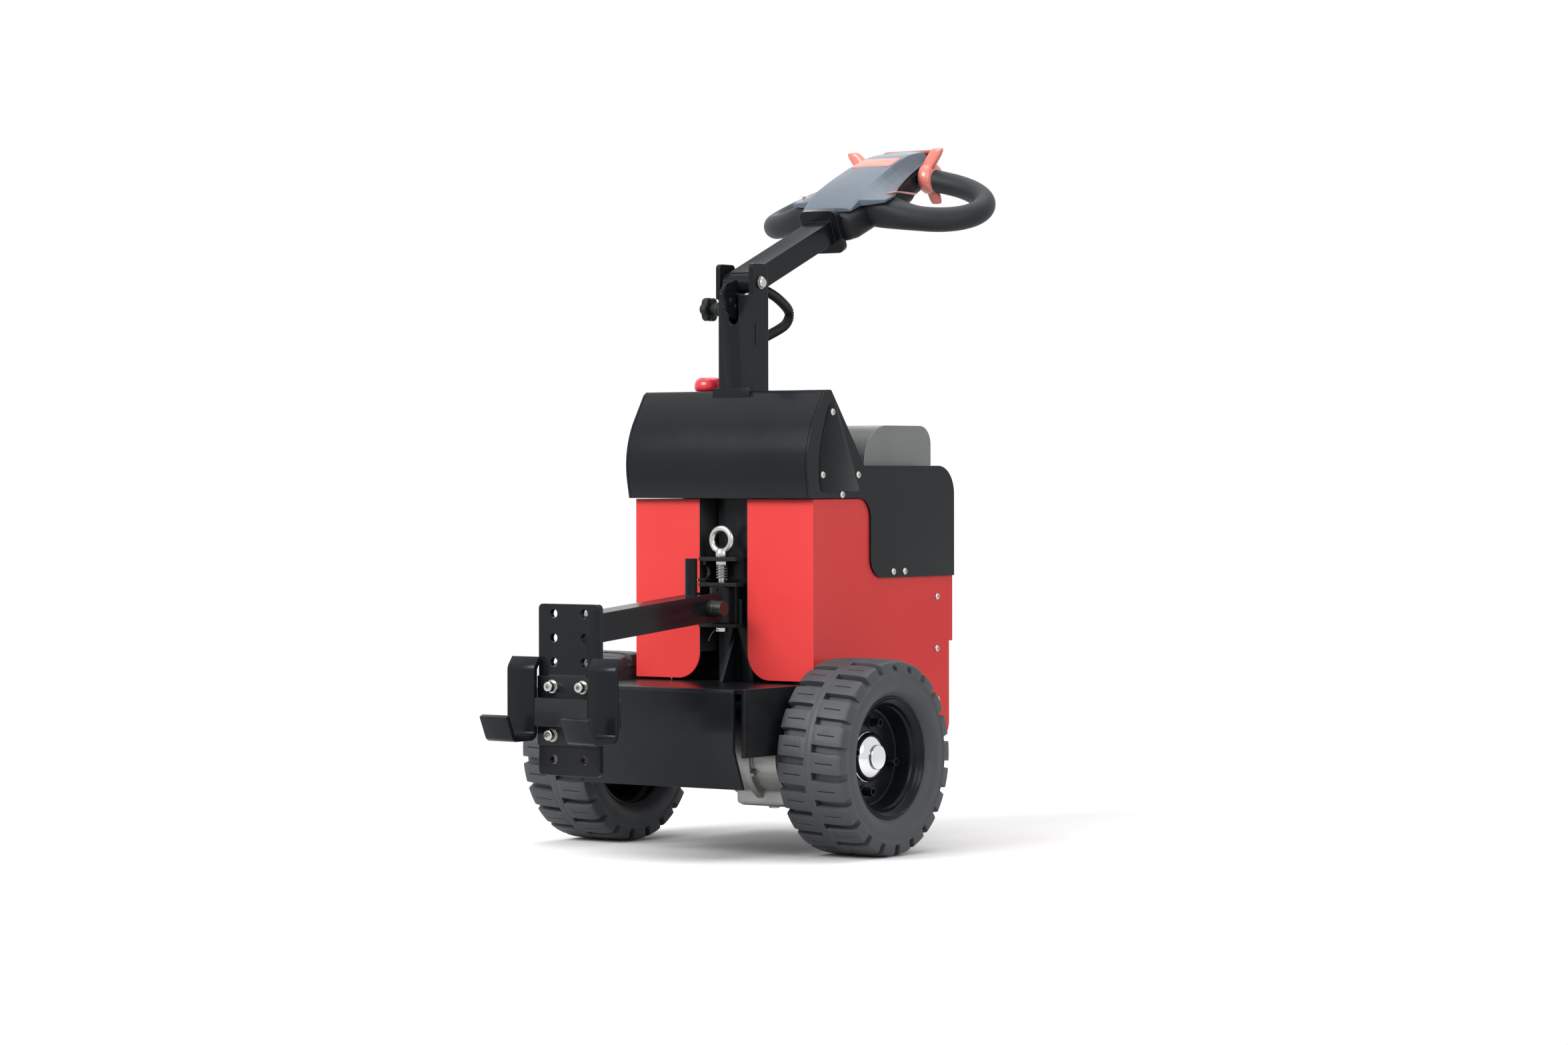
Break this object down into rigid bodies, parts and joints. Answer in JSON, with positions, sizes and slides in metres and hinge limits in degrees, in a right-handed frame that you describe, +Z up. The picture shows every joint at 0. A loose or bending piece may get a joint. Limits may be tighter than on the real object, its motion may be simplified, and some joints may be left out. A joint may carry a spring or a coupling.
{
  "type": "electric tow tractor",
  "caption": "Walk-behind electric tow tractor with a tilting tiller, drive wheels, a rear caster and a lifting twin-hook coupling.",
  "frame": {"origin": "on the floor, midway between the drive wheels and under their axle, which is the centre of the base box", "axes": "+Z up, -Y towards the coupling, +Y towards the operator's tiller, +X towards the right-hand wheel"},
  "size_m": [0.512, 0.8303, 0.9306],
  "materials": {
    "black_paint": "gloss black paint",
    "red_paint": "gloss red paint",
    "bare_steel": "bare, brushed",
    "battery_case": "matte",
    "zinc_steel": "bright zinc",
    "red_plastic": "gloss",
    "black_plastic": "moulded",
    "cast_aluminium": "as cast",
    "conduit_plastic": "corrugated, flexible",
    "grey_plastic": "moulded, satin",
    "grip_rubber": "soft-touch",
    "salmon_plastic": "gloss, film-wrapped",
    "tyre": "matte rubber",
    "chrome": "polished"
  },
  "bodies": {
    "frame": {"chassis_frame": "black_paint", "body_panel_left": "red_paint", "body_panel_right": "red_paint", "rear_panel": "red_paint", "bulkhead": "black_paint", "hood": "black_paint", "side_cover_left": "black_paint", "side_cover_right": "black_paint", "rear_cover": "bare_steel", "battery_block": "battery_case", "column": "black_paint", "column_collar": "black_paint", "tiller_pin": "zinc_steel", "control_console": "black_plastic", "emergency_stop": "red_plastic", "index_plunger": "black_plastic", "conduit": "conduit_plastic", "hitch_bracket": "black_paint", "pull_ring": "zinc_steel", "transaxle": "cast_aluminium", "caster_plate": "zinc_steel"},
    "tiller": {"tiller_arm": "black_paint", "index_sector": "zinc_steel", "head_base": "black_plastic", "tiller_head": "grey_plastic", "head_panel": "salmon_plastic", "reverse_button": "red_plastic", "grip_left": "grip_rubber", "grip_right": "grip_rubber"},
    "throttle_left_body": {"throttle_left": "salmon_plastic"},
    "throttle_right_body": {"throttle_right": "salmon_plastic"},
    "swing": {"swing_block": "black_paint"},
    "coupling": {"tow_arm": "black_paint", "lift_pin": "zinc_steel", "coupling_plate": "black_paint", "hook_carrier": "black_paint", "hook_left": "black_paint", "hook_right": "black_paint"},
    "wheel_left": {"tyre_left": "tyre", "rim_left": "black_paint", "hub_left": "chrome"},
    "wheel_right": {"tyre_right": "tyre", "rim_right": "black_paint", "hub_right": "chrome"},
    "caster_swivel": {"caster_fork": "zinc_steel"},
    "caster_roller": {"caster_wheel": "grip_rubber"}
  },
  "joints": [
    {"name": "tiller_tilt", "type": "hinge", "parent": "frame", "child": "tiller", "pos_m": [0, 0.022, 0.732], "axis": [1, 0, 0], "range_deg": [-15, 60], "deforming": ["conduit"]},
    {"name": "throttle_left_turn", "type": "hinge", "parent": "tiller", "child": "throttle_left_body", "pos_m": [-0.0655, 0.38129, 0.88628], "axis": [1, 0, 0], "range_deg": [-30, 30]},
    {"name": "throttle_right_turn", "type": "hinge", "parent": "tiller", "child": "throttle_right_body", "pos_m": [0.0655, 0.38129, 0.88628], "axis": [1, 0, 0], "range_deg": [-30, 30]},
    {"name": "coupling_swing", "type": "hinge", "parent": "frame", "child": "swing", "pos_m": [0, -0.025, 0.315], "axis": [0, 0, 1], "range_deg": [-30, 30]},
    {"name": "coupling_lift", "type": "hinge", "parent": "swing", "child": "coupling", "pos_m": [0, -0.074, 0.312], "axis": [-1, 0, 0], "range_deg": [0, 30]},
    {"name": "wheel_left_roll", "type": "hinge", "parent": "frame", "child": "wheel_left", "pos_m": [-0.206, 0, 0.125], "axis": [1, 0, 0], "continuous": true},
    {"name": "wheel_right_roll", "type": "hinge", "parent": "frame", "child": "wheel_right", "pos_m": [0.206, 0, 0.125], "axis": [1, 0, 0], "continuous": true},
    {"name": "caster_turn", "type": "hinge", "parent": "frame", "child": "caster_swivel", "pos_m": [0, 0.205, 0.12], "axis": [0, 0, 1], "continuous": true},
    {"name": "caster_roll", "type": "hinge", "parent": "caster_swivel", "child": "caster_roller", "pos_m": [0, 0.239, 0.05], "axis": [1, 0, 0], "continuous": true}
  ]
}
